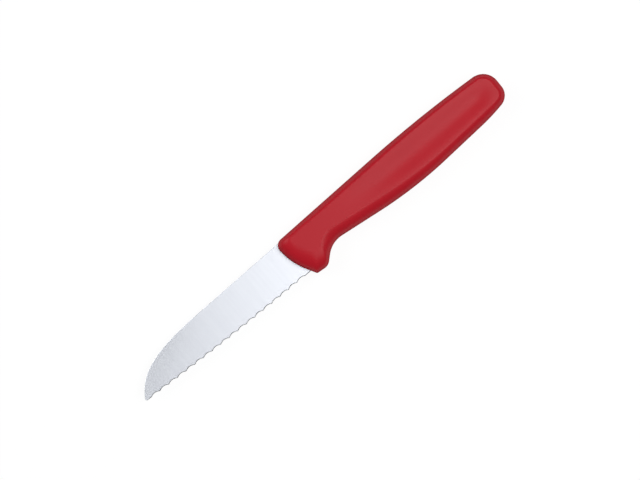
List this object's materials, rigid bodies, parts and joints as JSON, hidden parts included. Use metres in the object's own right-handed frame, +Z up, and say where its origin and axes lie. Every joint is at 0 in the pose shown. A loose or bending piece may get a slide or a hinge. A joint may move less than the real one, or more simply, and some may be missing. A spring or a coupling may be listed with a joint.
{
  "type": "serrated paring knife",
  "caption": "Small serrated kitchen knife: a scalloped stainless blade with a dropped tip, its tang moulded into a red plastic handle with a finger guard.",
  "frame": {"origin": "under the middle of the knife's box, on the surface that it lies on", "axes": "+X along the spine from tip to butt, +Y from the cutting edge to the spine, +Z up out of the side that the picture shows"},
  "size_m": [0.1868, 0.0202, 0.0116],
  "materials": {
    "blade_steel": "satin-ground stainless steel, finely lined from spine to edge",
    "handle_plastic": "satin moulded polypropylene, through-coloured red"
  },
  "bodies": {
    "root": {"blade": "blade_steel", "handle": "handle_plastic"}
  },
  "joints": []
}
